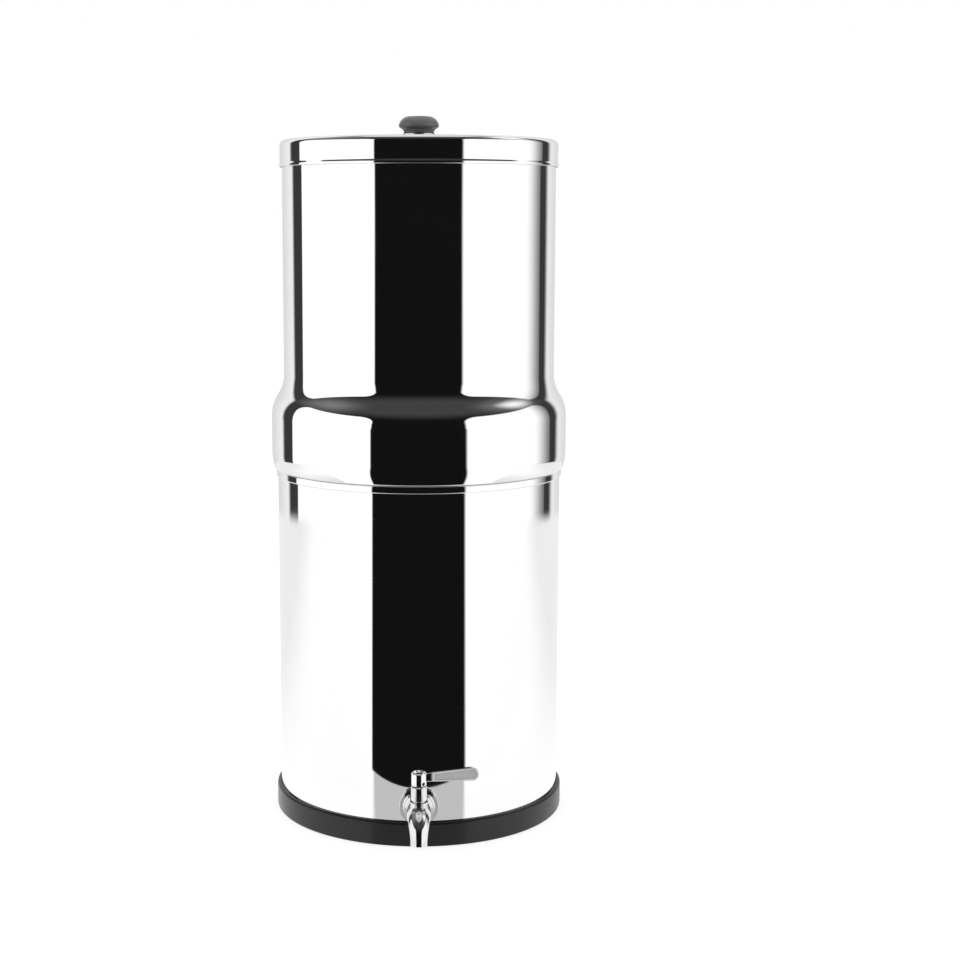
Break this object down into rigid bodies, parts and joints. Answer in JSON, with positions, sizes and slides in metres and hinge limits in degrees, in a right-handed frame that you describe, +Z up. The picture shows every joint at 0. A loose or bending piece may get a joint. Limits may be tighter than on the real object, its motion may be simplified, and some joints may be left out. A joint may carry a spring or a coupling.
{
  "type": "gravity water filter",
  "caption": "Stacked polished steel gravity water filter: lidded upper chamber with carbon elements over a lower chamber with a quarter-turn tap.",
  "frame": {"origin": "centre of the base tray's flat underside, on the chambers' axis", "axes": "+Z up along the chambers' axis; the tap looks along -Y and its shut lever points along +X"},
  "size_m": [0.2498, 0.2992, 0.589],
  "materials": {
    "polished_steel": "mirror polished stainless steel",
    "tap_steel": "polished stainless steel",
    "satin_steel": "satin",
    "seal_rubber": "matt moulded rubber",
    "base_rubber": "satin moulded rubber",
    "knob_plastic": "satin moulded",
    "cap_plastic": "gloss moulded",
    "nut_plastic": "satin moulded",
    "carbon_block": "porous pressed carbon",
    "seat_white": "smooth",
    "insert_brass": "machined",
    "dark_screw": "blackened"
  },
  "bodies": {
    "lower_vessel": {"base_tray": "base_rubber", "lower_chamber": "polished_steel", "tap_flange": "tap_steel", "tap_shank": "tap_steel", "thrust_washer": "satin_steel", "tap_inner_seal": "seal_rubber", "tap_outer_seal": "seal_rubber", "tap_lock_nut": "satin_steel", "tap_body": "tap_steel", "front_ball_seat": "seat_white", "back_ball_seat": "seat_white", "tap_bonnet": "tap_steel"},
    "upper_vessel": {"upper_chamber": "polished_steel", "element_washer_left": "seal_rubber", "element_base_left": "cap_plastic", "element_carbon_left": "carbon_block", "element_washer_right": "seal_rubber", "element_base_right": "cap_plastic", "element_carbon_right": "carbon_block", "blanking_plug_front": "seal_rubber", "blanking_plug_back": "seal_rubber"},
    "left_nut": {"clamp_nut_left": "nut_plastic"},
    "right_nut": {"clamp_nut_right": "nut_plastic"},
    "lid_assembly": {"lid": "polished_steel", "lid_knob": "knob_plastic", "knob_washer": "satin_steel", "knob_insert": "insert_brass", "screw_washer": "satin_steel", "knob_screw": "satin_steel"},
    "tap_handle": {"valve_ball": "tap_steel", "tap_stem": "tap_steel", "lower_stem_ring": "seal_rubber", "upper_stem_ring": "seal_rubber", "tap_lever": "tap_steel", "lever_screw": "dark_screw"}
  },
  "joints": [
    {"name": "upper_chamber_lift", "type": "slide", "parent": "lower_vessel", "child": "upper_vessel", "axis": [0, 0, 1], "range_m": [0, 0.15]},
    {"name": "lid_lift", "type": "slide", "parent": "upper_vessel", "child": "lid_assembly", "axis": [0, 0, 1], "range_m": [0, 0.15]},
    {"name": "tap_lever_turn", "type": "hinge", "parent": "lower_vessel", "child": "tap_handle", "pos_m": [0, -0.148, 0.065], "axis": [0, 0, -1], "range_deg": [0, 90]},
    {"name": "left_nut_turn", "type": "hinge", "parent": "upper_vessel", "child": "left_nut", "pos_m": [-0.06, 0, 0.265], "axis": [0, 0, -1], "range_deg": [0, 330]},
    {"name": "right_nut_turn", "type": "hinge", "parent": "upper_vessel", "child": "right_nut", "pos_m": [0.06, 0, 0.265], "axis": [0, 0, -1], "range_deg": [0, 330]}
  ]
}
